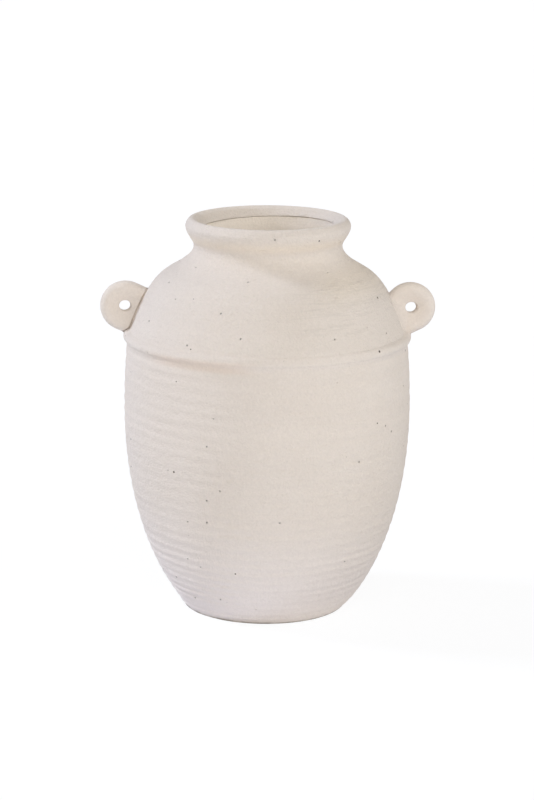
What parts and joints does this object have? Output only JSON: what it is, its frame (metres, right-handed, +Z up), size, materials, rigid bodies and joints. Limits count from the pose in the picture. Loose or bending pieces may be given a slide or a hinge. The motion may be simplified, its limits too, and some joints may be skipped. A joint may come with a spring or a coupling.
{
  "type": "pithos jar",
  "caption": "Unglazed clay storage jar with a rounded belly, a ridge under the domed shoulder, pierced ear lugs and a rolled rim",
  "frame": {"origin": "middle of the underside, on the surface that the jar stands on", "axes": "+Z up along the jar's axis, +X through the right lug, +Y away from the viewer of the picture"},
  "size_m": [0.233, 0.2012, 0.2758],
  "materials": {
    "fired_clay": "matt unglazed cream stoneware with sandy grain, throwing rings and brown iron specks"
  },
  "bodies": {
    "root": {"base_disc": "fired_clay", "base_seam_coil": "fired_clay", "lower_belly": "fired_clay", "upper_belly": "fired_clay", "shoulder_dome": "fired_clay", "shoulder_band": "fired_clay", "neck_collar": "fired_clay", "rim_roll": "fired_clay", "left_lug": "fired_clay", "right_lug": "fired_clay"}
  },
  "joints": []
}
